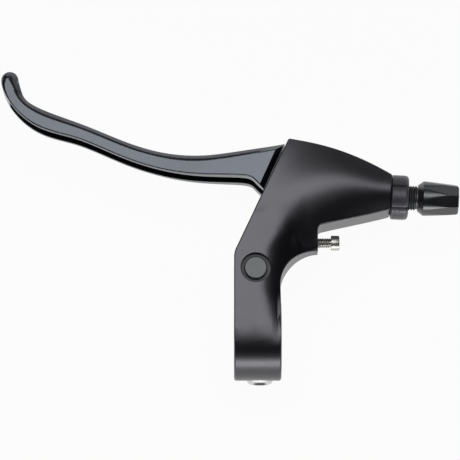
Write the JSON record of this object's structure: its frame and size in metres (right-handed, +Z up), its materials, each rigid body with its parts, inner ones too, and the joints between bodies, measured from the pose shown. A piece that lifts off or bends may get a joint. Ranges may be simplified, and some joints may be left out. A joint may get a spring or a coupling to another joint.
{
  "type": "bicycle brake lever",
  "caption": "Flat-bar bicycle brake lever with a curved blade, cast bracket, handlebar clamp, reach screw and slotted barrel cable adjuster with lock nut.",
  "frame": {"origin": "centre of the handlebar bore, halfway along the clamp", "axes": "+X along the handlebar toward the stem, +Y forward from the bar, +Z up"},
  "size_m": [0.184, 0.1245, 0.039],
  "materials": {
    "bracket_coat": "satin black coat on cast aluminium",
    "blade_coat": "semi-gloss black coat on cast aluminium",
    "pin_black": "satin black steel",
    "clip_steel": "dark spring steel",
    "bush_resin": "matt bearing resin",
    "spring_steel": "drawn spring wire",
    "adjuster_black": "satin black turned metal",
    "bare_steel": "bare zinc steel",
    "bright_steel": "bright plated steel"
  },
  "bodies": {
    "bracket_body": {"bracket": "bracket_coat", "pivot_pin": "pin_black", "pivot_clip": "clip_steel", "clamp_bolt": "bright_steel", "clamp_nut": "bare_steel", "return_spring": "spring_steel"},
    "lever_body": {"lever_blade": "blade_coat", "upper_bush": "bush_resin", "lower_bush": "bush_resin"},
    "adjuster_body": {"adjuster_bolt": "adjuster_black"},
    "knob_body": {"adjuster_knob": "adjuster_black"},
    "lock_nut_body": {"lock_nut": "adjuster_black"},
    "reach_screw_body": {"reach_screw": "bare_steel"}
  },
  "joints": [
    {"name": "lever_pull", "type": "hinge", "parent": "bracket_body", "child": "lever_body", "pos_m": [-0.0008, 0.0263, 0.00475], "axis": [0, 0, 1], "range_deg": [0, 38], "stiffness_Nm_per_rad": 0.15, "springref_deg": -28.65, "deforming": ["return_spring"]},
    {"name": "adjuster_travel", "type": "slide", "parent": "bracket_body", "child": "adjuster_body", "axis": [0.999, -0.0436, 0], "range_m": [-0.003, 0.005]},
    {"name": "adjuster_turn", "type": "hinge", "parent": "adjuster_body", "child": "knob_body", "pos_m": [0.0534, 0.0576, 0.00475], "axis": [0.999, -0.0436, 0], "range_deg": [-1080, 1800]},
    {"name": "lock_nut_turn", "type": "hinge", "parent": "bracket_body", "child": "lock_nut_body", "pos_m": [0.0534, 0.0576, 0.00475], "axis": [0.999, -0.0436, 0], "range_deg": [-180, 180]},
    {"name": "reach_screw_turn", "type": "hinge", "parent": "bracket_body", "child": "reach_screw_body", "pos_m": [0.024, 0.0387, 0.00475], "axis": [1, 0, 0], "range_deg": [-360, 360]}
  ],
  "couplings": [
    {"joint": "adjuster_turn", "follows": "adjuster_travel", "rad_per_m": 6283.2}
  ]
}
